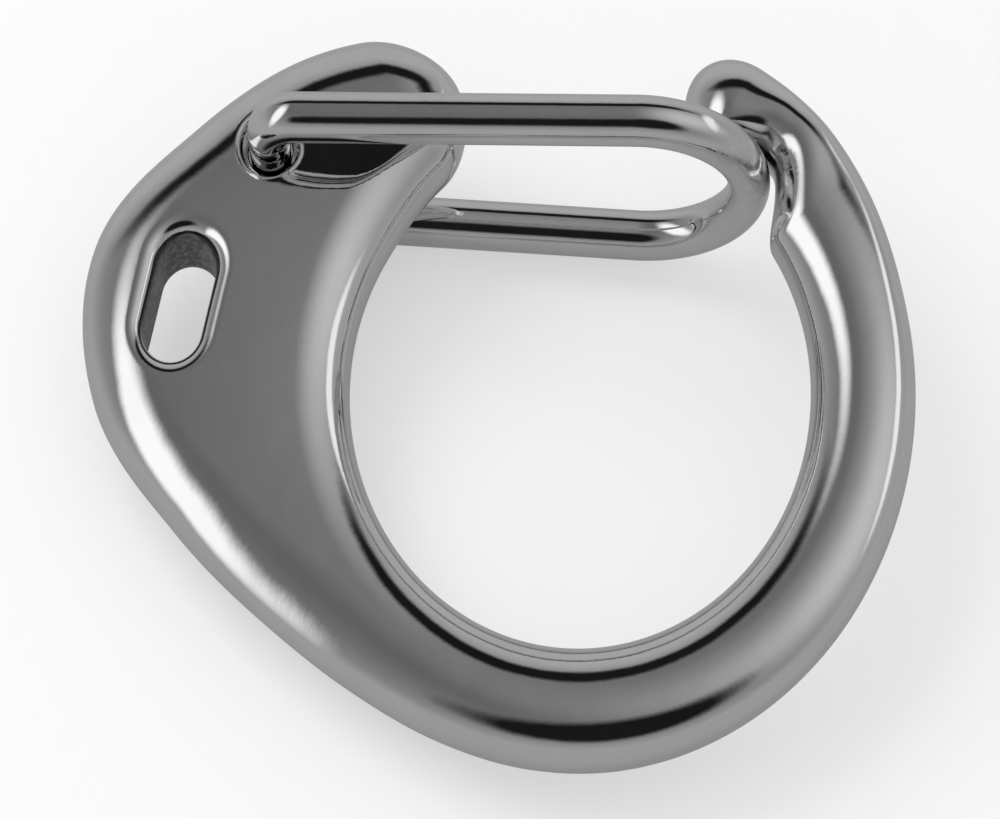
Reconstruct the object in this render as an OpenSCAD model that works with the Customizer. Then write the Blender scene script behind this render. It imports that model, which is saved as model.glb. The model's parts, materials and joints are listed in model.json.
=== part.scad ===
// Snap shackle with a sprung wire gate: one cast hook body and one bent wire gate.
// The shackle lies in the XY plane. The origin is the centre of the bow, half way
// through the thickness. +X points from the lashing lug to the nose, +Y to the
// gate, +Z through the thickness. Sizes are in millimetres and degrees.

/* [Bow] */
// Inner diameter of the round bow
bow_d = 17.2; // [16.8:0.1:17.6]
// Radial width of the bow's arm
arm_w = 3.87; // [3.6:0.01:4.2]
// Thickness of the arm from face to face
arm_t = 2.95; // [2.6:0.05:3.3]
// How wide the rounding is between the inner wall and each face
inner_round = 2; // [1.8:0.05:2.2]
// How wide the rounding is between the outer edge and each face
outer_round = 2.75; // [2.2:0.05:3]

/* [Nose] */
// Angle at which the nose ends, counted from +X
nose_end = 69.5; // [68:0.5:71]
// How far the inner wall steps outwards behind the gate's bend
nose_step = 1.76; // [1.72:0.02:1.9]
// How far the tip of the nose hooks back over the gate
nose_lip = 1.1; // [0.8:0.05:1.2]
// How far the outer edge moves out along the nose
nose_out = 0.38; // [0.2:0.02:0.6]
// Length of the rounded tip, as an angle
nose_cap = 11; // [8:0.5:13]

/* [Web and lug] */
// How far the web's edge stands outside the bow, every 16 degrees from the knuckle round to the heel
web_out = [1.05, 3.05, 4.75, 6.6, 5.85, 3.35, 1.5, 0.5, 0.1];
// Angle of the first of those distances
web_from = 118; // [116:1:120]
// How much the faces of the web swell in the middle
web_crown = 0.14; // [0:0.02:0.25]
// Overall length of the lashing slot
slot_l = 4.35; // [4.05:0.1:4.75]
// Width of the lashing slot
slot_w = 2.25; // [2:0.05:2.5]
// Centre of the lashing slot along X
slot_x = -15.1; // [-15.3:0.05:-14.9]
// Centre of the lashing slot along Y
slot_y = 2.4; // [2:0.1:2.7]
// Direction of the slot's long axis
slot_turn = 78; // [72:1:84]
// Bevel around the slot on both faces
slot_bevel = 0.4; // [0.2:0.05:0.5]

/* [Knuckle] */
// Angle at which the knuckle ends, counted from +X
knuckle_end = 115.3; // [114:0.1:117]
// Thickness of the knuckle from face to face
knuckle_t = 3.7; // [3.4:0.05:4]
// Length of the rounded end of the knuckle, as an angle
knuckle_cap = 11.6; // [9:0.2:13]
// Width of the relief around each gate peg
relief_w = 2.2; // [2.05:0.05:2.4]
// Radius of the scooped side of the relief under each gate leg
relief_sweep = 5.5; // [5:0.1:6]
// Slope of the scoop's floor, down from that side towards the leg
relief_slope = 12.5; // [11:0.5:14]
// Distance between the floors of the two reliefs
relief_gap = 2.2; // [2:0.05:2.4]

/* [Gate] */
// Diameter of the gate wire
wire_d = 1.6; // [1.4:0.05:1.65]
// Pivot of the gate along X
pivot_x = -11.9; // [-12.1:0.05:-11.7]
// Pivot of the gate along Y
pivot_y = 7.6; // [7.5:0.05:7.7]
// Direction of the closed gate, from the pivot to the nose
gate_turn = -1.26; // [-1.5:0.02:-1]
// Distance from the pivot to the middle of the wire at the end of the bend
gate_l = 18.13; // [17.9:0.01:18.2]
// Radius of the U bend, to the middle of the wire
bend_r = 4.1; // [3.9:0.05:4.3]
// Angle by which each leg leans outwards towards the bend
leg_splay = 2.75; // [2:0.05:3.5]
// Radius of the bend between a leg and its peg, to the middle of the wire
peg_r = 1.2; // [1.1:0.05:1.4]
// Radial gap between a peg and the pivot hole
pivot_gap = 0.04; // [0.02:0.01:0.08]

/* [Hidden] */
$fn = 48;

bow_r = bow_d / 2;
wire_r = wire_d / 2;
cut_h = 3; // height of a cutter on each side of the mid-plane

// ---- Profile of the body along the sweep ----
// The body is swept from the nose, clockwise round the bow and web, to the
// knuckle. The sweep angle runs from nose_end down to sweep_end.
sweep_end = knuckle_end - 360;

// sweep angles [from, to] over which each change takes place
nose_out_span = [11.5, 46];
nose_step_span = [34, 48];
nose_lip_span = [50.5, 60];
nose_round_span = [28, 54];
knuckle_span = [-190, sweep_end];
knuckle_step_span = [-210, sweep_end];

knuckle_step = 0.32;    // how far the inner wall moves outwards at the knuckle
knuckle_round = 0.2;    // widening of the inner rounding at the knuckle
web_step = 16;          // angle between two entries of web_out
crown_w = 6;            // extra width over the arm at which the crown is full
inner_power = 2;        // roundings: 2 is elliptical, higher is squarer
outer_power = 2.2;
round_blend = 1.2;      // easing of the limit on the outer rounding

// smooth ramp from 0 at span[0] to 1 at span[1]
function ramp(x, span) =
    let(u = min(1, max(0, (x - span[0]) / (span[1] - span[0]))))
    u * u * (3 - 2 * u);

// the smaller of two lengths, eased over blend where they meet
function soft_min(a, b, blend) =
    let(h = max(0, blend - abs(a - b)) / blend)
    min(a, b) - h * h * blend / 4;

// web_out, continued in a straight line before its start and by 0 past its end
function web_at(i) =
    i < 0 ? web_out[0] + i * (web_out[1] - web_out[0])
  : i < len(web_out) ? web_out[i] : 0;

// smooth curve (Catmull-Rom) through web_out, at an angle counted from +X
function web_rise(angle) =
    let(t = (angle - web_from) / web_step, i = floor(t), u = t - i,
        before = web_at(i - 1), start = web_at(i),
        end = web_at(i + 1), after = web_at(i + 2))
    start + 0.5 * u * ((end - before)
      + u * (2 * before - 5 * start + 4 * end - after
      + u * (3 * (start - end) + after - before)));

function inner_r(sweep) = bow_r
    + nose_step * ramp(sweep, nose_step_span)
    - nose_lip * ramp(sweep, nose_lip_span)
    + knuckle_step * ramp(sweep, knuckle_step_span);

function outer_r(sweep) = bow_r + arm_w
    + nose_out * ramp(sweep, nose_out_span)
    + web_rise(sweep + 360);

function half_thickness(sweep) =
    arm_t / 2 + (knuckle_t - arm_t) / 2 * ramp(sweep, knuckle_span);

// width of the inner rounding; at the nose it grows to half the section's width
function inner_rounding(sweep, width) = inner_round
    + (width / 2 - inner_round) * ramp(sweep, nose_round_span)
    + knuckle_round * ramp(sweep, knuckle_span);

// ---- Cross-section ----
half_steps = 19;              // steps from the inner edge to the outer edge
ring_size = 2 * half_steps;   // points round a whole section

// height of a rounded edge at a distance inside it, as a share of the half thickness
function edge_height(distance, rounding, power) =
    distance >= rounding ? 1
  : pow(1 - pow(1 - distance / rounding, power), 1 / power);

// upper half of the section as [distance from the inner edge, height],
// from the inner edge to the outer edge
function half_section(sweep) =
    let(width = outer_r(sweep) - inner_r(sweep),
        height = half_thickness(sweep),
        inner = inner_rounding(sweep, width),
        outer = soft_min(width - inner, outer_round, round_blend),
        crown = web_crown * ramp(width, [arm_w, arm_w + crown_w]))
    [for (k = [0 : half_steps])
        let(share = (1 - cos(180 * k / half_steps)) / 2,
            distance = share * width)
        [distance,
         height * edge_height(distance, inner, inner_power)
                * edge_height(width - distance, outer, outer_power)
           + crown * 4 * share * (1 - share)]];

// whole section, upper half then lower half
function section(sweep) =
    let(upper = half_section(sweep))
    concat(upper,
        [for (k = [half_steps - 1 : -1 : 1]) [upper[k][0], -upper[k][1]]]);

// section in place at its sweep angle, scaled about its middle
function ring_points(sweep, scaling) =
    let(width = outer_r(sweep) - inner_r(sweep))
    [for (p = section(sweep))
        let(r = inner_r(sweep) + width / 2 + (p[0] - width / 2) * scaling)
        [r * cos(sweep), r * sin(sweep), p[1] * scaling]];

// middle of the section, used as the tip of each rounded end
function middle(sweep) =
    let(r = (inner_r(sweep) + outer_r(sweep)) / 2)
    [r * cos(sweep), r * sin(sweep), 0];

// ---- Stations of the sweep ----
cap_steps = 8;
nose_steps = 18;
bow_steps = 62;
nose_on = nose_end - nose_cap;          // full section starts
nose_off = 28;                          // fine nose steps give way to bow steps
knuckle_on = sweep_end + knuckle_cap;   // full section ends

// station k steps from the tip of a rounded end
function cap_station(tip, cap, k) =
    let(q = 90 * k / cap_steps)
    [tip + cap * (1 - cos(q)), sin(q)];

// [sweep angle, scale of the section]
stations = concat(
    [for (k = [1 : cap_steps - 1]) cap_station(nose_end, -nose_cap, k)],
    [for (k = [0 : nose_steps]) [nose_on + (nose_off - nose_on) * k / nose_steps, 1]],
    [for (k = [1 : bow_steps]) [nose_off + (knuckle_on - nose_off) * k / bow_steps, 1]],
    [for (k = [cap_steps - 1 : -1 : 1]) cap_station(sweep_end, knuckle_cap, k)]);

// index of point k on ring i; point 0 is the tip of the nose
function ring_index(i, k) = 1 + i * ring_size + k % ring_size;

// ---- Hook body ----
module swept_body() {
    last_ring = len(stations) - 1;
    last_point = ring_index(last_ring + 1, 0);
    around = [0 : ring_size - 1];
    points = concat([middle(nose_end)],
        [for (s = stations) each ring_points(s[0], s[1])],
        [middle(sweep_end)]);
    nose_faces = [for (k = around) [0, ring_index(0, k + 1), ring_index(0, k)]];
    side_faces = [for (i = [0 : last_ring - 1], k = around)
        let(a = ring_index(i, k), b = ring_index(i, k + 1))
        each [[a, b, a + ring_size], [b, b + ring_size, a + ring_size]]];
    knuckle_faces = [for (k = around)
        [last_point, ring_index(last_ring, k), ring_index(last_ring, k + 1)]];
    polyhedron(points = points, convexity = 6,
        faces = concat(nose_faces, side_faces, knuckle_faces));
}

// lashing slot with a 45 degree bevel on both faces
module lashing_slot() {
    half_l = (slot_l - slot_w) / 2; // from the centre to each round end's centre
    half_w = slot_w / 2;
    face_z = arm_t / 2 + web_crown;
    flare = 1; // height and spread of the bevel cutter
    translate([slot_x, slot_y, 0]) rotate([0, 0, slot_turn]) {
        for (s = [-1, 1]) translate([s * half_l, 0, -cut_h])
            cylinder(h = 2 * cut_h, d = slot_w);
        translate([-half_l, -half_w, -cut_h]) cube([2 * half_l, slot_w, 2 * cut_h]);
        for (f = [0, 1]) mirror([0, 0, f]) translate([0, 0, face_z - slot_bevel]) {
            for (s = [-1, 1]) translate([s * half_l, 0, 0])
                cylinder(h = flare, r1 = half_w, r2 = half_w + flare);
            translate([-half_l, 0, 0]) rotate([90, 0, 90]) linear_extrude(2 * half_l)
                polygon([[-half_w, 0], [half_w, 0],
                         [half_w + flare, flare], [-half_w - flare, flare]]);
        }
    }
}

// relief under one gate leg: a round spot face at the peg, and a shallow cone
// scooped out from the bow side down to a straight outer side
module leg_relief() {
    rim_z = 1.73;       // height at which the cone's radius is relief_sweep
    rise = 1;           // height of the cone above the rim
    cone_x = 2.3;       // cone axis from the pivot
    rim_y = 1.45;       // reach of the rim from the pivot towards the bow
    scoop_l = 9;        // the block that bounds the scoop, along X
    scoop_y = 2;        // and its reach from the pivot towards the bow
    cone_h = relief_sweep * tan(relief_slope);
    translate([pivot_x, pivot_y, 0]) {
        translate([0, 0, relief_gap / 2]) cylinder(h = cut_h, d = relief_w, $fn = 64);
        intersection() {
            translate([cone_x, relief_sweep - rim_y, rim_z - cone_h])
                cylinder(h = cone_h + rise,
                         r1 = 0, r2 = relief_sweep + rise / tan(relief_slope), $fn = 120);
            translate([0, -scoop_y, 0]) cube([scoop_l, scoop_y + relief_w / 2, cut_h]);
        }
    }
}

// cast hook: nose, bow, web with the lashing slot, and knuckle
module hook_body() {
    seat_gap = 0.06; // radial gap around the wire in the nose
    color([0.78, 0.78, 0.79])
    difference() {
        swept_body();
        lashing_slot();
        for (f = [0, 1]) mirror([0, 0, f]) leg_relief();
        translate([pivot_x, pivot_y, -cut_h])
            cylinder(h = 2 * cut_h, r = wire_r + pivot_gap);
        // seat for the gate's bend in the inner side of the nose
        translate([pivot_x, pivot_y, 0]) rotate([0, 0, gate_turn])
            translate([gate_l, 0, -cut_h]) cylinder(h = 2 * cut_h, r = wire_r + seat_gap);
    }
}

// ---- Wire gate, with its pivot at the origin and its bend towards +X ----
bend_x = gate_l - bend_r; // centre of the U bend

// the lean of the legs fixes the height at which each peg bend starts
peg_z = (bend_r - peg_r) * cos(leg_splay)
    - tan(leg_splay) * (bend_x - peg_r - (bend_r - peg_r) * sin(leg_splay));
peg_end = 0.3; // from the mid-plane to the end of each peg

// the straight runs are slightly thinner and reach a little way into the bends
run_r = wire_r - 0.004;
run_in = 0.05;

// one leg with its peg and the bend between them, on the +Z side
module gate_leg() {
    // ends of the straight leg as [x, z]
    from = [peg_r * (1 - sin(leg_splay)), peg_z + peg_r * cos(leg_splay)];
    to = [bend_x - bend_r * sin(leg_splay), bend_r * cos(leg_splay)];
    translate([0, 0, peg_end]) cylinder(h = peg_z - peg_end + run_in, r = run_r);
    translate([peg_r, 0, peg_z]) rotate([90, 0, 0]) rotate([0, 0, 90 + leg_splay])
        rotate_extrude(angle = 90 - leg_splay) translate([peg_r, 0]) circle(r = wire_r);
    translate([from[0], 0, from[1]]) rotate([0, 90 - leg_splay, 0])
        translate([0, 0, -run_in]) cylinder(h = norm(to - from) + 2 * run_in, r = run_r);
}

// gate: one wire bent into a U, with a peg at the end of each leg
module wire_gate() {
    color([0.72, 0.71, 0.68])
    translate([pivot_x, pivot_y, 0]) rotate([0, 0, gate_turn]) {
        for (f = [0, 1]) mirror([0, 0, f]) gate_leg();
        translate([bend_x, 0, 0]) rotate([90, 0, 0]) rotate([0, 0, -90 - leg_splay])
            rotate_extrude(angle = 180 + 2 * leg_splay)
                translate([bend_r, 0]) circle(r = wire_r);
    }
}

hook_body();
wire_gate();
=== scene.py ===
"""Snap shackle: a chromed cast hook body and its sprung wire gate.

The hook lies in the XY plane, its ring centred on the origin and open towards +Y, and is thick
along Z. A web stands out from the ring on the -X side. The gate runs nearly along +X from its
pivot at the knuckle to the nose. Shapes are worked out in millimetres and degrees; angles round
the ring are anticlockwise from +X.
"""
import json
import math
from itertools import product

import bpy
import numpy as np
from mathutils import Matrix, Vector


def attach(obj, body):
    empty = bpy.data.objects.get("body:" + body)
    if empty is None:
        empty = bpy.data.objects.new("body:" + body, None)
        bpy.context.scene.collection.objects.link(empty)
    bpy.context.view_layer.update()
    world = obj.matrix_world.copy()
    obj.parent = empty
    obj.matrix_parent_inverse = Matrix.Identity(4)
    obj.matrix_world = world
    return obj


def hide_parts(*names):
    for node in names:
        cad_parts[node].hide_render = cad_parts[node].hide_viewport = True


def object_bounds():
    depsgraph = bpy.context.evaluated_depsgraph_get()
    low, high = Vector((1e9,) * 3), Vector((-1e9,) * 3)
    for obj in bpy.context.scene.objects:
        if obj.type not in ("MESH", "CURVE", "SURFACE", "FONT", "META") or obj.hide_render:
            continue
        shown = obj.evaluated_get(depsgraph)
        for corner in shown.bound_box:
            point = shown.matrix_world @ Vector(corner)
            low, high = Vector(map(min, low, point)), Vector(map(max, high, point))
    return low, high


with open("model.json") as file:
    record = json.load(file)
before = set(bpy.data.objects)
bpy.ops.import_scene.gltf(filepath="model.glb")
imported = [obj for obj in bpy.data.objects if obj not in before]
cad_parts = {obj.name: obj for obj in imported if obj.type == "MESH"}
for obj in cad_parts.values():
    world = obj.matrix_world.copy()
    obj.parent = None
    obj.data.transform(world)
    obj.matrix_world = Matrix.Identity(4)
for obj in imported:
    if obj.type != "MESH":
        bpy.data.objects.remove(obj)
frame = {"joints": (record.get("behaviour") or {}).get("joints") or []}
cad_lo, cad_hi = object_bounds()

scene = bpy.context.scene
MM = 0.001

# ---------------------------------------------------------------------------
# Hook sizes. A sweep is the pair of angles over which a change comes in.
# ---------------------------------------------------------------------------
BOW_R = 8.6                    # inside of the ring
ARM_W, ARM_T = 3.87, 2.95      # radial width and thickness of the plain arm
INNER_ROUND, OUTER_ROUND = 2.0, 2.75
ROUND_BLEND = 1.2              # softens the limit on the outer round
OUTER_POWER = 2.2              # superellipse power of the outer edge

NOSE_END, NOSE_CAP = 69.5, 11.0            # last angle, and the angle its rounding takes
NOSE_STEP, STEP_SWEEP = 1.76, (34.0, 48.0)     # inner side steps outwards
NOSE_LIP, LIP_SWEEP = 1.1, (50.5, 60.0)        # and comes back in at the tip
NOSE_OUT, NOSE_OUT_SWEEP = 0.38, (11.5, 46.0)  # outer side swells
TIP_SWEEP = (28.0, 54.0)                       # inner round grows to half the width

KNUCKLE_END, KNUCKLE_T, KNUCKLE_CAP = 115.3, 3.7, 11.6
SWEEP_END = KNUCKLE_END - 360.0            # the knuckle's end, going clockwise from the nose
KNUCKLE_SWEEP = (-190.0, SWEEP_END)
KNUCKLE_IN, KNUCKLE_IN_SWEEP = 0.32, (-210.0, SWEEP_END)
KNUCKLE_ROUND = 0.2                        # added to the inner round
GAP_MIDDLE = (NOSE_END + KNUCKLE_END) / 2  # where the angle wraps round

WEB_FROM, WEB_STEP = 118.0, 16.0           # first angle and spacing of WEB_OUT
WEB_OUT = [1.05, 3.05, 4.75, 6.6, 5.85, 3.35, 1.5, 0.5, 0.1]   # how far it stands past the ring
WEB_CROWN, CROWN_SPAN = 0.14, 6.0          # full crown, and the extra width that brings it

SLOT_L, SLOT_W, SLOT_X, SLOT_Y = 4.35, 2.25, -15.1, 2.4
SLOT_TURN, SLOT_EDGE = 78.0, 0.7

# Relief under each gate leg: a cone with its axis along Z, measured from the pivot
RELIEF_W, RELIEF_GAP, RELIEF_SLOPE = 2.2, 2.2, 12.5
RELIEF_SWEEP, RELIEF_RIM = 5.5, 1.73       # the cone has radius SWEEP at height RIM
RELIEF_AXIS = (2.3, RELIEF_SWEEP - 1.45)

# Gate: measured along its legs from the pivot
WIRE_R, GATE_TURN, GATE_L, BEND_R, LEG_SPLAY = 0.8, -1.26, 18.13, 4.1, 2.75
PEG_R, PEG_END, PEG_EDGE = 1.2, 0.3, 0.14  # turn into the peg, its end height, its rounded edge
PIVOT_GAP, SEAT_GAP = 0.04, 0.06           # clearance round the wire
PIVOT_X, PIVOT_Y = (1000.0 * v for v in frame["joints"][0]["pos_m"][:2])

# Grid the casting is meshed on
GRID_X, GRID_Y, GRID_TOP = (-19.31, 13.2), (-12.93, 12.3), 2.2
RELAX_TURNS = 3
PROBE, NORMAL_PROBE = 0.01, 0.02           # half spans for measuring slopes
MIN_STEEP = 0.06                           # keeps the distance finite where the gauge is flat


# ---------------------------------------------------------------------------
# Hook body: the casting as one smooth implicit surface
# ---------------------------------------------------------------------------
def ease(x):
    x = np.clip(x, 0.0, 1.0)
    return x * x * (3.0 - 2.0 * x)


def ease_over(angle, sweep):
    start, end = sweep
    return ease((angle - start) / (end - start))


def smooth_max(a, b, blend):
    """The larger of two distances, with a rounded meeting edge about blend wide."""
    near = np.clip(blend - np.abs(a - b), 0.0, None) / blend
    return np.maximum(a, b) + near * near * blend * 0.25


def web_rise(angle):
    """Catmull-Rom curve through WEB_OUT, continued straight before it and flat at zero after."""
    place = (angle - WEB_FROM) / WEB_STEP
    i = np.floor(place).astype(int)
    u = place - i
    first, rise = WEB_OUT[0], WEB_OUT[1] - WEB_OUT[0]
    rows = np.array([first + k * rise for k in (-2, -1)] + WEB_OUT + [0.0] * 20)
    before, start, end, after = (rows[i + 2 + k] for k in (-1, 0, 1, 2))
    square = 2 * before - 5 * start + 4 * end - after
    cube = 3 * (start - end) + after - before
    return start + 0.5 * u * ((end - before) + u * (square + u * cube))


def plan(x, y):
    """Section of the casting at a place in its plane: edge terms, half thickness, end term."""
    around = np.degrees(np.arctan2(y, x))
    around = np.where(around > GAP_MIDDLE, around - 360.0, around)
    radius = np.hypot(x, y)
    swept = np.clip(around, SWEEP_END, NOSE_END)
    knuckle = ease_over(swept, KNUCKLE_SWEEP)
    inner = (BOW_R + NOSE_STEP * ease_over(swept, STEP_SWEEP)
             - NOSE_LIP * ease_over(swept, LIP_SWEEP)
             + KNUCKLE_IN * ease_over(swept, KNUCKLE_IN_SWEEP))
    outer = (BOW_R + ARM_W + NOSE_OUT * ease_over(swept, NOSE_OUT_SWEEP)
             + web_rise(swept + 360.0))
    width = outer - inner

    round_in = (INNER_ROUND + (width / 2 - INNER_ROUND) * ease_over(swept, TIP_SWEEP)
                + KNUCKLE_ROUND * knuckle)
    round_out = -smooth_max(round_in - width, -OUTER_ROUND, ROUND_BLEND)
    share = (radius - inner) / width
    half = ARM_T / 2 + (KNUCKLE_T - ARM_T) / 2 * knuckle
    bulge = 4.0 * np.clip(share * (1.0 - share), 0.0, None)
    half = half + WEB_CROWN * ease((width - ARM_W) / CROWN_SPAN) * bulge

    edge_in = np.clip(1.0 - (radius - inner) / round_in, 0.0, None)
    edge_out = np.clip(1.0 - (outer - radius) / round_out, 0.0, None)
    cap = np.maximum(
        np.clip((around - (NOSE_END - NOSE_CAP)) / NOSE_CAP, 0.0, None),
        np.clip((SWEEP_END + KNUCKLE_CAP - around) / KNUCKLE_CAP, 0.0, None))
    return edge_in ** 2, edge_out ** OUTER_POWER, half, cap * cap


def gauge(section, z):
    """Below 1 inside the uncut casting, 1 on its skin."""
    edge_in, edge_out, half, cap = section
    height = np.abs(z) / half
    across = np.maximum(np.sqrt(edge_in + height * height),
                        (edge_out + height ** OUTER_POWER) ** (1.0 / OUTER_POWER))
    return np.sqrt(across * across + cap)


def cuts(x, y):
    """Distances, in the plane, for the slot, relief cone and sides, pivot spot, hole and seat."""
    turned = math.radians(SLOT_TURN)
    u = (x - SLOT_X) * math.cos(turned) + (y - SLOT_Y) * math.sin(turned)
    v = -(x - SLOT_X) * math.sin(turned) + (y - SLOT_Y) * math.cos(turned)
    slot = np.hypot(np.clip(np.abs(u) - (SLOT_L - SLOT_W) / 2, 0.0, None), v) - SLOT_W / 2

    u, v = x - PIVOT_X, y - PIVOT_Y
    from_axis = np.hypot(u - RELIEF_AXIS[0], v - RELIEF_AXIS[1])
    sides = smooth_max(v - RELIEF_W / 2, -u, blend=0.4)
    spot = np.hypot(u, v) - RELIEF_W / 2
    hole = np.hypot(u, v) - (WIRE_R + PIVOT_GAP)
    turned = math.radians(GATE_TURN)
    seat = (np.hypot(u - GATE_L * math.cos(turned), v - GATE_L * math.sin(turned))
            - (WIRE_R + SEAT_GAP))
    return slot, from_axis, sides, spot, hole, seat


def carve(body, tools, z):
    slot, from_axis, sides, spot, hole, seat = tools
    slope = math.radians(RELIEF_SLOPE)
    above_apex = np.abs(z) - RELIEF_RIM + RELIEF_SWEEP * math.tan(slope)
    cone = from_axis * math.sin(slope) - above_apex * math.cos(slope)
    body = smooth_max(body, -slot, blend=SLOT_EDGE)
    body = smooth_max(body, -smooth_max(cone, sides, blend=0.3), blend=0.06)
    spot = smooth_max(spot, RELIEF_GAP / 2 - np.abs(z), blend=0.4)
    body = smooth_max(body, -spot, blend=0.3)
    body = smooth_max(body, -hole, blend=0.16)
    return smooth_max(body, -seat, blend=0.25)


def sample_plan(x, y):
    """Sections at a place and at its four neighbours, and the cuts there."""
    e = PROBE
    sections = plan(x, y), plan(x + e, y), plan(x - e, y), plan(x, y + e), plan(x, y - e)
    return sections, cuts(x, y)


def skin_distance(sample, z):
    """Approximate distance to the casting's skin, from a sampled plan and a height."""
    (here, x_up, x_down, y_up, y_down), tools = sample
    gx = gauge(x_up, z) - gauge(x_down, z)
    gy = gauge(y_up, z) - gauge(y_down, z)
    gz = gauge(here, z + PROBE) - gauge(here, z - PROBE)
    steep = np.sqrt(gx * gx + gy * gy + gz * gz) / (2 * PROBE)
    return carve((gauge(here, z) - 1.0) / np.maximum(steep, MIN_STEEP), tools, z)


def casting(points):
    return skin_distance(sample_plan(points[:, 0], points[:, 1]), points[:, 2])


def casting_normals(points):
    shifts = np.eye(3) * NORMAL_PROBE
    n = np.stack([casting(points + s) - casting(points - s) for s in shifts], 1)
    return n / np.maximum(np.linalg.norm(n, axis=1, keepdims=True), 1e-12)


def casting_grid(xs, ys, zs):
    sample = sample_plan(*np.meshgrid(xs, ys, indexing="ij"))
    vol = np.empty((len(xs), len(ys), len(zs)), np.float32)
    for k, z in enumerate(zs):
        vol[:, :, k] = skin_distance(sample, z)
    return vol


# ---------------------------------------------------------------------------
# Meshing
# ---------------------------------------------------------------------------
def surface_net(vol, xs, ys, zs):
    """One point for each grid cell the skin passes through, one quad for each edge it crosses."""
    inside = vol < 0
    nx, ny, nz = vol.shape
    count = np.zeros((nx - 1, ny - 1, nz - 1), np.int8)
    for i, j, k in product((0, 1), repeat=3):
        count += inside[i:nx - 1 + i, j:ny - 1 + j, k:nz - 1 + k]
    cells = (count > 0) & (count < 8)
    index = -np.ones(cells.shape, np.int64)
    index[cells] = np.arange(cells.sum())

    # each point is the mean of the crossings on its cell's twelve edges
    ci, cj, ck = np.nonzero(cells)
    total, number = np.zeros((len(ci), 3)), np.zeros(len(ci))
    for axis in range(3):
        others = [q for q in range(3) if q != axis]
        for corner in product((0, 1), repeat=2):
            lo = [0, 0, 0]
            lo[others[0]], lo[others[1]] = corner
            hi = list(lo)
            hi[axis] = 1
            v0 = vol[ci + lo[0], cj + lo[1], ck + lo[2]]
            v1 = vol[ci + hi[0], cj + hi[1], ck + hi[2]]
            cross = (v0 < 0) != (v1 < 0)
            at = np.tile(np.array(lo, float), (len(ci), 1))
            at[:, axis] = np.where(cross, v0 / np.where(cross, v0 - v1, 1.0), 0.0)
            total += at * cross[:, None]
            number += cross
    local = total / number[:, None]
    points = np.stack([np.interp(ci + local[:, 0], np.arange(nx), xs),
                       np.interp(cj + local[:, 1], np.arange(ny), ys),
                       np.interp(ck + local[:, 2], np.arange(nz), zs)], 1)

    quads = []
    for axis in range(3):
        lo, hi = [slice(1, -1)] * 3, [slice(1, -1)] * 3
        lo[axis], hi[axis] = slice(0, -1), slice(1, None)
        starts_inside = inside[tuple(lo)]
        crossed = starts_inside != inside[tuple(hi)]
        outward = starts_inside[crossed]
        step = np.array([1, 1, 1])
        step[axis] = 0
        at = np.argwhere(crossed) + step
        u, v = [(1, 2), (2, 0), (0, 1)][axis]

        def cell(du, dv):
            q = at.copy()
            q[:, u] -= du
            q[:, v] -= dv
            return index[q[:, 0], q[:, 1], q[:, 2]]

        quad = np.stack([cell(1, 1), cell(0, 1), cell(0, 0), cell(1, 0)], 1)
        quad[~outward] = quad[~outward][:, ::-1]
        quads.append(quad)
    return points, np.concatenate(quads)


def onto_skin(points, step):
    return points - casting_normals(points) * np.clip(casting(points), -step, step)[:, None]


def even_out(points, quads):
    """Move each point halfway to the mean of its neighbours, but only along the skin."""
    normals = casting_normals(points)
    near, number = np.zeros_like(points), np.zeros(len(points))
    size = len(points)
    for corner in range(4):
        i, j = quads[:, corner], quads[:, (corner + 1) % 4]
        for axis in range(3):
            near[:, axis] += (np.bincount(i, points[j, axis], size)
                              + np.bincount(j, points[i, axis], size))
        number += np.bincount(i, minlength=size) + np.bincount(j, minlength=size)
    move = near / number[:, None] - points
    return points + 0.5 * (move - normals * (move * normals).sum(1, keepdims=True))


def hook_mesh(step):
    xs, ys = np.arange(*GRID_X, step), np.arange(*GRID_Y, step)
    upper = (np.arange(int(math.ceil(GRID_TOP / step))) + 0.5) * step
    vol = casting_grid(xs, ys, upper)
    vol = np.concatenate([vol[:, :, ::-1], vol], 2)      # the casting is alike above and below
    points, quads = surface_net(vol, xs, ys, np.concatenate([-upper[::-1], upper]))
    points = onto_skin(points, step)
    for _ in range(RELAX_TURNS):
        points = onto_skin(even_out(points, quads), step)
    points = onto_skin(points, step)
    return points, quads, casting_normals(points)


def mesh_object(name, points, faces, normals=None):
    mesh = bpy.data.meshes.new(name)
    mesh.vertices.add(len(points))
    mesh.vertices.foreach_set("co", (points * MM).astype(np.float32).ravel())
    sizes = np.array([len(face) for face in faces])
    corners = np.concatenate(list(faces))
    mesh.loops.add(len(corners))
    mesh.loops.foreach_set("vertex_index", corners.astype(np.int32))
    mesh.polygons.add(len(sizes))
    mesh.polygons.foreach_set("loop_start", (np.cumsum(sizes) - sizes).astype(np.int32))
    mesh.polygons.foreach_set("loop_total", sizes.astype(np.int32))
    mesh.update(calc_edges=True)
    mesh.validate()
    mesh.shade_smooth()
    if normals is not None:
        mesh.normals_split_custom_set_from_vertices(normals.astype(np.float32))
    ob = bpy.data.objects.new(name, mesh)
    scene.collection.objects.link(ob)
    return ob


hook = mesh_object("cast_hook", *hook_mesh(0.11))


# ---------------------------------------------------------------------------
# Wire gate: one spring wire, bent round into two legs whose ends turn in as pegs
# ---------------------------------------------------------------------------
def arc(cx, cz, radius, start, end, count):
    """Clockwise arc of stations."""
    return [(cx + radius * math.cos(t), cz + radius * math.sin(t), math.sin(t), -math.cos(t))
            for t in np.linspace(start, end, count)]


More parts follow.
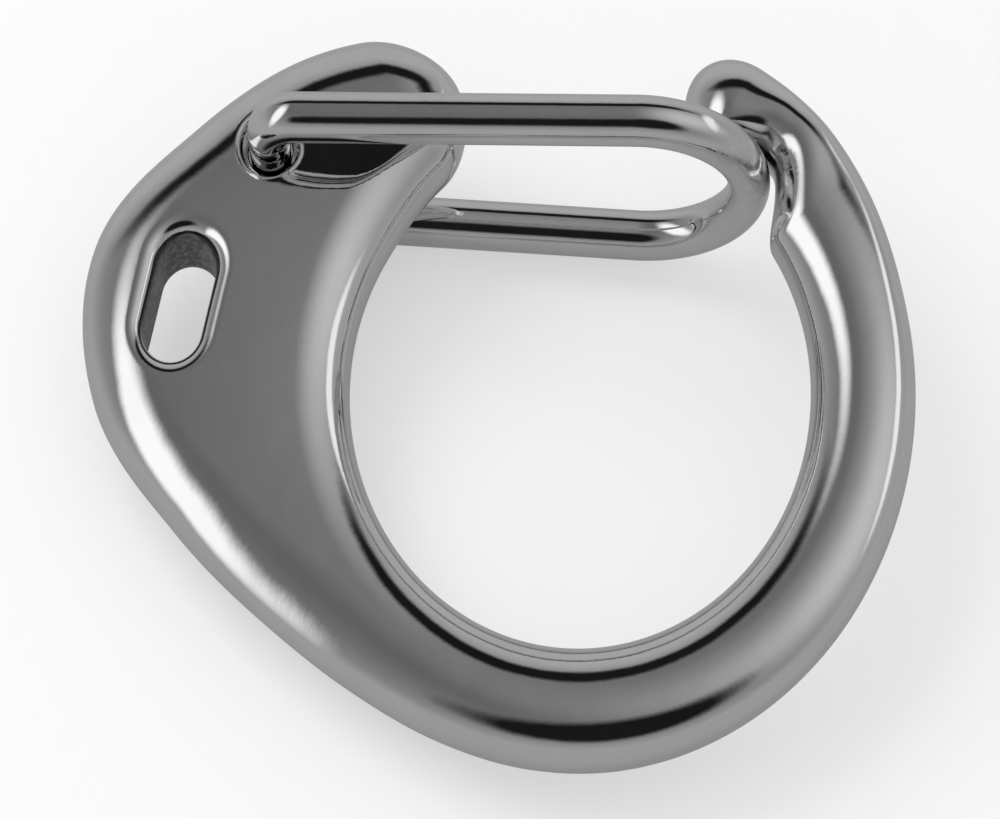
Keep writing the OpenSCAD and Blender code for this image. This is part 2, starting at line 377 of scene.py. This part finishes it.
def gate_path():
    """Centre line of the wire: (distance along the legs, z, and its direction in the same two)."""
    splay = math.radians(LEG_SPLAY)
    leg_angle = math.pi / 2 + splay
    bend_x = GATE_L - BEND_R
    turn_z = ((BEND_R - PEG_R) * math.cos(splay)
              - math.tan(splay) * (bend_x - PEG_R - (BEND_R - PEG_R) * math.sin(splay)))
    leg_start = (PEG_R - PEG_R * math.sin(splay), turn_z + PEG_R * math.cos(splay))
    leg_end = (bend_x - BEND_R * math.sin(splay), BEND_R * math.cos(splay))

    upper = [(0.0, PEG_END + (turn_z - PEG_END) * t, 0.0, 1.0)
             for t in np.linspace(0, 1, 8)[:-1]]
    upper += arc(PEG_R, turn_z, PEG_R, math.pi, leg_angle, 26)
    upper += [(leg_start[0] + (leg_end[0] - leg_start[0]) * t,
               leg_start[1] + (leg_end[1] - leg_start[1]) * t, math.cos(splay), math.sin(splay))
              for t in np.linspace(0, 1, 42)[1:-1]]
    bend = arc(bend_x, 0.0, BEND_R, leg_angle, -leg_angle, 112)
    lower = [(x, -z, -dx, dz) for x, z, dx, dz in reversed(upper)]
    return upper + bend + lower


def peg_edge(station, inward, shares):
    """Rounded end of a peg: share 1 is its flat end, share 0 the full wire."""
    x, z, dx, dz = station
    return [(x, z + inward * PEG_EDGE * (1 - math.sin(t)), dx, dz,
             WIRE_R - PEG_EDGE + PEG_EDGE * math.cos(t)) for t in shares * math.pi / 2]


def gate_mesh(sides):
    path = gate_path()
    stations = peg_edge(path[0], 1, np.linspace(1, 0, 5))
    stations += [(*station, WIRE_R) for station in path[1:-1]]
    stations += peg_edge(path[-1], -1, np.linspace(0, 1, 5))

    turned = math.radians(GATE_TURN)
    along = np.array([math.cos(turned), math.sin(turned), 0.0])
    across = np.array([-math.sin(turned), math.cos(turned), 0.0])
    z_axis = np.array([0.0, 0.0, 1.0])
    pivot = np.array([PIVOT_X, PIVOT_Y, 0.0])
    angle = (np.arange(sides) * 2 * math.pi / sides)[:, None]
    rings = []
    for x, z, dx, dz, radius in stations:
        side = np.cross(along * dx + z_axis * dz, across)
        spokes = np.cos(angle) * across + np.sin(angle) * side
        rings.append(pivot + along * x + z_axis * z + radius * spokes)

    i = np.arange(sides)
    j = (i + 1) % sides
    faces = []
    for k in range(len(rings) - 1):
        here, after = k * sides, (k + 1) * sides
        faces += np.stack([here + i, here + j, after + j, after + i], 1).tolist()
    faces.append(list(i[::-1]))
    faces.append(list((len(rings) - 1) * sides + i))
    return np.concatenate(rings), faces


gate = mesh_object("wire_loop_gate", *gate_mesh(72))


# ---------------------------------------------------------------------------
# Materials
# ---------------------------------------------------------------------------
class Graph:
    """Short names for building a node tree, which it empties first."""

    def __init__(self, owner, output="ShaderNodeOutputMaterial"):
        owner.use_nodes = True
        self.tree = owner.node_tree
        self.tree.nodes.clear()
        self.surface = self.node(output).inputs["Surface"]

    def node(self, kind, **props):
        count = len(self.tree.nodes)
        n = self.tree.nodes.new(kind)
        for k, v in props.items():
            setattr(n, k, v)
        n.location = (count % 40 * 180, -(count // 40) * 260)
        return n

    def put(self, socket, value):
        if isinstance(value, bpy.types.NodeSocket):
            self.tree.links.new(value, socket)
        elif value is not None:
            socket.default_value = value

    def fill(self, node, **values):
        """Set inputs by name, with _ for a space."""
        for name, value in values.items():
            self.put(node.inputs[name.replace("_", " ")], value)
        return node

    def math(self, op, a, b=None):
        n = self.node("ShaderNodeMath", operation=op)
        self.put(n.inputs[0], a)
        self.put(n.inputs[1], b)
        return n.outputs[0]

    def vec(self, op, a, b=None, scale=None):
        n = self.node("ShaderNodeVectorMath", operation=op)
        self.put(n.inputs[0], a)
        self.put(n.inputs[1], b)
        if scale is not None:
            self.put(n.inputs["Scale"], scale)
        return n.outputs["Value" if op in ("DOT_PRODUCT", "LENGTH", "DISTANCE") else "Vector"]

    def ramp(self, value, start, end, to_start=0.0, to_end=1.0):
        n = self.node("ShaderNodeMapRange", interpolation_type="SMOOTHSTEP")
        self.fill(n, Value=value, From_Min=start, From_Max=end, To_Min=to_start, To_Max=to_end)
        return n.outputs["Result"]

    def mix(self, a, b, share):
        n = self.node("ShaderNodeMix", data_type="RGBA", blend_type="MIX")
        self.put(n.inputs[0], share)
        for socket, colour in ((n.inputs[6], a), (n.inputs[7], b)):    # the colour inputs
            self.put(socket, colour if isinstance(colour, bpy.types.NodeSocket) else (*colour, 1.0))
        return n.outputs[2]

    def noise(self, where, scale, detail=2.0, roughness=0.5, distortion=0.0):
        n = self.node("ShaderNodeTexNoise", noise_dimensions="3D")
        self.fill(n, Vector=where, Scale=scale, Detail=detail, Roughness=roughness,
                  Distortion=distortion)
        return n.outputs["Fac"]

    def bump(self, height, distance, strength=1.0, normal=None):
        n = self.node("ShaderNodeBump")
        self.fill(n, Strength=strength, Distance=distance, Height=height, Normal=normal)
        return n.outputs["Normal"]

    def mix_shaders(self, share, a, b):
        n = self.node("ShaderNodeMixShader")
        for socket, value in zip(n.inputs, (share, a, b)):
            self.put(socket, value)
        return n.outputs[0]

    def place(self):
        return self.node("ShaderNodeTexCoord").outputs["Object"]


def new_material(name):
    mat = bpy.data.materials.new(name)
    return mat, Graph(mat)


def grey(value):
    return value, value, value


PLATE_GREY, HAZE_GREY = 0.80, 0.965 * 0.80
SCRATCH_ROUGH = 0.05                     # added roughness in the hair scratches
WORN_CORE = 0.35                         # share of a worn patch's radius that is fully worn
WORN_ROUGH, WORN_GREY, WORN_SHARE = 0.26, 0.65, 0.5   # added roughness, colour and its share
# Painted shade in the cast slot: its reach from the slot centre, the share of it at full strength,
# and the roughness added on the walls
SLOT_SHADE_REACH, SLOT_SHADE_CORE, WALL_ROUGH = SLOT_L * 0.62, 0.9, 0.3   # radius, full share, roughness
# Hair scratches: turn in radians, and the stretch of the noise that draws them
SCRATCHES = [(0.5, (9000.0, 260.0, 900.0)),
             (-0.9, (7600.0, 330.0, 1200.0))]


def hair_scratches(g, at):
    lines = []
    for turned, squeeze in SCRATCHES:
        m = g.fill(g.node("ShaderNodeMapping"), Vector=at,
                   Rotation=(0.3 * turned, 0.2, turned), Scale=squeeze)
        streaks = g.noise(m.outputs["Vector"], scale=1.0, detail=1.0)
        lines.append(g.ramp(streaks, start=0.70, end=0.86))
    return g.math("MAXIMUM", *lines)


def worn_patches(g, at, spots):
    patch = None
    for centre, radius in spots:
        away = g.vec("DISTANCE", at, tuple(c * MM for c in centre))
        near = g.ramp(away, start=radius * MM, end=radius * WORN_CORE * MM)
        patch = near if patch is None else g.math("MAXIMUM", patch, near)
    broken = g.noise(at, scale=1500.0, detail=3.0, roughness=0.65)
    return g.math("MULTIPLY", patch, g.ramp(broken, start=0.34, end=0.56))


def paint_slot_wall_shade(g, at, colour, rough):
    """Painted shade in the cast slot: the walls' colour is darkened towards a speckled dark grey to
    stand for the shade in the recess, and their roughness is raised, so they are darker and
    grainier than the faces.
    """
    away = g.vec("DISTANCE", at, (SLOT_X * MM, SLOT_Y * MM, 0.0))
    normal = g.node("ShaderNodeNewGeometry").outputs["True Normal"]
    facing_z = g.math("ABSOLUTE", g.vec("DOT_PRODUCT", normal, (0.0, 0.0, 1.0)))
    # mask of the painted shade: near the slot, on faces that don't look along Z
    wall = g.math("MULTIPLY",
                  g.ramp(away, start=SLOT_SHADE_REACH * MM, end=SLOT_SHADE_REACH * SLOT_SHADE_CORE * MM),
                  g.ramp(facing_z, start=0.55, end=0.15))
    speck = g.noise(at, scale=4200.0, detail=3.0, roughness=0.7)
    # painted shade: a speckled dark grey laid over the slot walls' colour
    shade_grey = g.mix(grey(0.15), grey(0.35), g.ramp(speck, start=0.4, end=0.7))
    return (g.mix(colour, shade_grey, wall),
            g.math("ADD", rough, g.math("MULTIPLY", wall, WALL_ROUGH)))


def chrome(name, wave_scale, wave_height, polish, worn, slot_wall_shade=False):
    """Polished plating: a slow ripple, haze, hair scratches and a worn patch or two, and painted
    shade on the slot walls when asked for.

    polish is the roughness where the haze is least and most; worn lists (centre, radius) in mm.
    """
    mat, g = new_material(name)
    bsdf = g.node("ShaderNodeBsdfPrincipled")
    g.put(g.surface, bsdf.outputs["BSDF"])
    at = g.place()
    haze = g.noise(at, scale=260.0, detail=4.0, roughness=0.6, distortion=0.4)
    grain = g.noise(at, scale=5200.0, detail=3.0, roughness=0.6)
    scratch = hair_scratches(g, at)
    colour = g.mix(grey(HAZE_GREY), grey(PLATE_GREY), g.ramp(haze, start=0.35, end=0.65))
    rough = g.math("ADD",
                   g.ramp(haze, start=0.38, end=0.72, to_start=polish[0], to_end=polish[1]),
                   g.math("MULTIPLY", scratch, SCRATCH_ROUGH))
    patch = worn_patches(g, at, worn)
    rough = g.math("ADD", rough, g.math("MULTIPLY", patch, WORN_ROUGH))
    colour = g.mix(colour, grey(WORN_GREY), g.math("MULTIPLY", patch, WORN_SHARE))
    # painted shade darkens the slot walls, whose roughness is also raised
    if slot_wall_shade:
        colour, rough = paint_slot_wall_shade(g, at, colour, rough)

    ripple = g.noise(at, scale=wave_scale, roughness=0.45)
    pits = g.math("MULTIPLY", patch, g.noise(at, scale=3600.0, detail=3.0, roughness=0.7))
    normal = g.bump(ripple, distance=wave_height)
    normal = g.bump(grain, distance=0.0000011, normal=normal)
    normal = g.bump(scratch, distance=0.0000012, strength=-1.0, normal=normal)
    normal = g.bump(pits, distance=0.000009, normal=normal)
    g.fill(bsdf, Base_Color=colour, Metallic=1.0, Roughness=rough, Normal=normal)
    return mat


def on_gate(along, height):
    """A place on the closed gate's centre line, in millimetres."""
    turned = math.radians(GATE_TURN)
    return PIVOT_X + along * math.cos(turned), PIVOT_Y + along * math.sin(turned), height


hook.data.materials.append(chrome(
    "cast_chrome_plate", wave_scale=430.0, wave_height=0.000016, polish=(0.018, 0.055),
    worn=[(on_gate(GATE_L + 0.6, 1.0), 1.7)], slot_wall_shade=True))
gate.data.materials.append(chrome(
    "drawn_wire_plate", wave_scale=700.0, wave_height=0.000008, polish=(0.03, 0.07),
    worn=[(on_gate(GATE_L - 0.9, 2.6), 2.1), (on_gate(GATE_L + 0.3, 0.6), 1.4)]))

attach(hook, "hook")
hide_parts("hook_body")
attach(gate, "gate")
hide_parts("wire_gate")


# ---------------------------------------------------------------------------
# Stage, from here on in metres: a pale sheet under the leaning shackle
# ---------------------------------------------------------------------------
def turn(axis, degrees):
    return np.array(Matrix.Rotation(math.radians(degrees), 3, axis))


# The shackle leans on its lower gate leg and the rim of the bow, so the sheet is not square to it.
LEAN = turn("Z", -3.925) @ turn("Y", -4.758) @ turn("X", 7.983)   # object axes -> right, away, up
right, away, up = (Vector(LEAN[k]) for k in range(3))

SHEET_DROP = 0.00003                      # gap below the lowest point
SHEET_RINGS = [0.012, 0.024, 0.036, 0.05, 0.065, 0.085]
SHEET_SIDES = 64
SHEET_FADE = (0.045, 0.078)               # radii between which the sheet turns clear
SHEET_GLOW = 0.45                         # share of its light that is its own
SHEET_MIRRORED = grey(0.40)               # the sheet as the chrome shows it, darker than direct


def lowest(ob):
    co = np.empty(len(ob.data.vertices) * 3, np.float32)
    ob.data.vertices.foreach_get("co", co)
    return float((co.reshape(-1, 3).astype(float) @ np.array(up)).min())


def stage_object(name, verts, faces):
    mesh = bpy.data.meshes.new(name)
    mesh.from_pydata(verts, [], faces)
    ob = bpy.data.objects.new(name, mesh)
    scene.collection.objects.link(ob)
    return ob


def pale_sheet():
    n = SHEET_SIDES
    verts, faces = [foot[:]], []
    for r in SHEET_RINGS:
        for k in range(n):
            t = 2 * math.pi * k / n
            verts.append((foot + right * (r * math.cos(t)) + away * (r * math.sin(t)))[:])
    for k in range(n):
        after = (k + 1) % n
        faces.append((0, 1 + k, 1 + after))
        for j in range(len(SHEET_RINGS) - 1):
            a, b = 1 + j * n, 1 + (j + 1) * n
            faces.append((a + k, b + k, b + after, a + after))
    return stage_object("pale_sheet", verts, faces)


def sheet_material():
    mat, g = new_material("pale_sheet")
    glossy = g.node("ShaderNodeLightPath").outputs["Is Glossy Ray"]
    at = g.place()
    fibre = g.noise(at, scale=900.0, detail=4.0, roughness=0.6)
    tone = g.mix((0.93, 0.93, 0.925), (0.96, 0.96, 0.955), fibre)
    lit = g.fill(g.node("ShaderNodeBsdfDiffuse"), Color=g.mix(tone, SHEET_MIRRORED, glossy))
    glow = g.fill(g.node("ShaderNodeEmission"), Color=g.mix(grey(1.0), SHEET_MIRRORED, glossy))
    soft = g.mix_shaders(SHEET_GLOW, lit.outputs[0], glow.outputs[0])
    clear = g.node("ShaderNodeBsdfTransparent")
    fade = g.ramp(g.vec("DISTANCE", at, foot[:]), *SHEET_FADE)
    hidden = g.math("MAXIMUM", fade, g.node("ShaderNodeNewGeometry").outputs["Backfacing"])
    g.put(g.surface, g.mix_shaders(hidden, soft, clear.outputs[0]))
    return mat


centre = np.array(cad_lo + cad_hi) / 2
low = min(lowest(hook), lowest(gate))
foot = Vector(centre) + up * (low - SHEET_DROP - float(np.dot(np.array(up), centre)))
pale_sheet().data.materials.append(sheet_material())

# ---------------------------------------------------------------------------
# World: a plain studio for the chrome to mirror, and even light for the rest
# ---------------------------------------------------------------------------
# Ellipses in degrees from straight up, later ones over earlier ones:
# (right, away) of centre, half sizes, turn, softness, grey
ROOM = [
    ((0, 0), (50, 50), 0, 0.8, 0.14),       # ceiling
    ((35, 0), (30, 30), 0, 0.9, 0.60),      # broad overhead softbox, right of centre
    ((0, 75), (80, 25), 0, 0.6, 0.45),      # grey back wall
    ((-50, -10), (40, 12), 60, 0.4, 1.20),  # strip softbox, left
    ((55, 20), (30, 6), 100, 0.4, 1.00),    # strip softbox, right
    ((0, 40), (40, 8), 0, 0.4, 0.01),       # black flag, far side
    ((0, -45), (30, 20), 0, 0.3, 0.01),     # camera and its black cloth
]
WALL_GREY = 0.30
FILL_GREY = 0.78         # what lights everything that isn't mirrored


def room_colour(g):
    sky = g.vec("NORMALIZE", g.node("ShaderNodeTexCoord").outputs["Generated"])
    dx, dy, dz = (g.vec("DOT_PRODUCT", sky, tuple(v)) for v in (right, away, up))
    zenith = g.math("DIVIDE", g.math("MULTIPLY", g.math("ARCCOSINE", dz), 180.0), math.pi) \
        if False else g.math("MULTIPLY", g.math("ARCCOSINE", dz), 180.0 / math.pi)
    level = g.math("SQRT", g.math("ADD", g.math("MULTIPLY", dx, dx), g.math("MULTIPLY", dy, dy)))
    per = g.math("DIVIDE", zenith, g.math("MAXIMUM", level, 1e-4))   # not zero straight up
    px, py = g.math("MULTIPLY", dx, per), g.math("MULTIPLY", dy, per)
    colour = g.mix(grey(WALL_GREY), SHEET_MIRRORED, g.ramp(zenith, start=60.0, end=92.0))
    for (cx, cy), (half_u, half_v), angle, blur, tone in ROOM:
        ca, sa = math.cos(math.radians(angle)), math.sin(math.radians(angle))
        x, y = g.math("SUBTRACT", px, cx), g.math("SUBTRACT", py, cy)
        u = g.math("ADD", g.math("MULTIPLY", x, ca), g.math("MULTIPLY", y, sa))
        v = g.math("SUBTRACT", g.math("MULTIPLY", y, ca), g.math("MULTIPLY", x, sa))
        u, v = g.math("DIVIDE", u, half_u), g.math("DIVIDE", v, half_v)
        squares = g.math("ADD", g.math("MULTIPLY", u, u), g.math("MULTIPLY", v, v))
        inside = g.ramp(g.math("SQRT", squares), start=1.0 + blur, end=1.0 - blur)
        colour = g.mix(colour, grey(tone), inside)
    return colour


def build_world():
    world = bpy.data.worlds.new("room")
    scene.world = world
    g = Graph(world, "ShaderNodeOutputWorld")
    path = g.node("ShaderNodeLightPath")
    mirrored = g.fill(g.node("ShaderNodeBackground"), Color=room_colour(g))
    plain = g.fill(g.node("ShaderNodeBackground"),
                   Color=g.mix(grey(FILL_GREY), grey(1.0), path.outputs["Is Camera Ray"]))
    g.put(g.surface, g.mix_shaders(path.outputs["Is Glossy Ray"],
                                   plain.outputs[0], mirrored.outputs[0]))


build_world()

lamp = bpy.data.lights.new("soft_key", "AREA")
lamp.shape = "RECTANGLE"
lamp.size, lamp.size_y = 0.16, 0.12
lamp.energy = 0.16
lamp.color = (1.0, 0.99, 0.97)
key = bpy.data.objects.new("soft_key", lamp)
key.location = foot + up * 0.17 - right * 0.13 + away * 0.07
key.rotation_mode = "QUATERNION"
key.rotation_quaternion = (key.location - foot).to_track_quat("Z", "Y")
key.visible_glossy = False
scene.collection.objects.link(key)

scene.view_settings.view_transform = "Standard"
scene.view_settings.look = "None"
scene.view_settings.exposure = 0.0
scene.view_settings.gamma = 1.0

# ---------------------------------------------------------------------------
# Camera. The view is stretched in height, which a camera can't do, so a small
# plate just in front bends its rays, as an anamorphic lens would. The plate is
# clear to every ray that doesn't come from this camera.
# ---------------------------------------------------------------------------
SENSOR_W, LENS = 36.0, 173.93346702          # mm
VIEW_SHIFT = (12.0750948, 7.7201406)         # mm on the sensor, right and up
STRETCH = 1.2129                             # height over width
TILT, ROLL = 60.6613, 0.0154                 # degrees
ORIGIN_AT = (15.528795, 8.236807)            # mm, the object's origin: right and away of the axis
DISTANCE = 176.951116                        # mm along the axis
PLATE_AWAY, PLATE_HALF = 0.004, 0.0006       # m
EYE_SPOT = 0.00002                           # m, rays passing this near the eye are bent
PORTAL_AHEAD = 0.01                          # m from the eye, where bent rays set out

tilt = math.radians(TILT)
stage_to_camera = turn("Z", ROLL) @ np.array([[1, 0, 0],
                                              [0, -math.sin(tilt), -math.cos(tilt)],
                                              [0, math.cos(tilt), -math.sin(tilt)]])
offset = (stage_to_camera @ np.array([*ORIGIN_AT, 0.0]) + np.array([0, 0, DISTANCE])) * MM
facing = stage_to_camera @ LEAN              # object axes -> right, down, forward
eye = Vector((-facing.T @ offset).tolist())

# columns: where the stretched view's right, up and back go, then the nearest square set of axes
rays = facing.T @ np.array([[1, 0, -VIEW_SHIFT[0] / LENS],
                            [0, -1 / STRETCH, VIEW_SHIFT[1] / (LENS * STRETCH)],
                            [0, 0, -1]])
back = rays[:, 2] / np.linalg.norm(rays[:, 2])
side = rays[:, 0] - back * (rays[:, 0] @ back)
side /= np.linalg.norm(side)
camera_axes = np.stack([side, np.cross(back, side), back], 1)
bend = rays @ camera_axes.T

cam_data = bpy.data.cameras.new("camera")
cam_data.sensor_width = SENSOR_W
cam_data.lens = LENS
cam_data.clip_start, cam_data.clip_end = 0.001, 10.0
cam = bpy.data.objects.new("camera", cam_data)
scene.collection.objects.link(cam)
cam.location = eye
cam.rotation_mode = "QUATERNION"
cam.rotation_quaternion = Matrix(camera_axes.tolist()).to_quaternion()
scene.camera = cam


def lens_material():
    mat, g = new_material("lens_plate")
    geo = g.node("ShaderNodeNewGeometry")
    heading = g.vec("SCALE", geo.outputs["Incoming"], scale=-1.0)
    from_eye = g.vec("SUBTRACT", geo.outputs["Position"], eye[:])
    miss = g.vec("LENGTH", g.vec("CROSS_PRODUCT", from_eye, heading))
    xyz = g.node("ShaderNodeCombineXYZ")
    for k in range(3):
        g.put(xyz.inputs[k], g.vec("DOT_PRODUCT", heading, tuple(bend[k])))
    bent = g.vec("NORMALIZE", xyz.outputs[0])
    start = g.vec("ADD", g.vec("SCALE", bent, scale=PORTAL_AHEAD), eye[:])
    portal = g.fill(g.node("ShaderNodeBsdfRayPortal"), Position=start, Direction=bent)
    clear = g.node("ShaderNodeBsdfTransparent")
    g.put(g.surface, g.mix_shaders(g.math("GREATER_THAN", miss, EYE_SPOT),
                                   portal.outputs[0], clear.outputs[0]))
    return mat


middle = eye - Vector(back.tolist()) * PLATE_AWAY
across, upward = (Vector(camera_axes[:, k].tolist()) * PLATE_HALF for k in (0, 1))
corners = [(middle + across * i + upward * j)[:] for i, j in ((-1, -1), (1, -1), (1, 1), (-1, 1))]
plate = stage_object("lens_plate", corners, [(0, 1, 2, 3)])
for kind in ("diffuse", "glossy", "transmission", "volume_scatter", "shadow"):
    setattr(plate, "visible_" + kind, False)
plate.data.materials.append(lens_material())

bpy.context.view_layer.update()
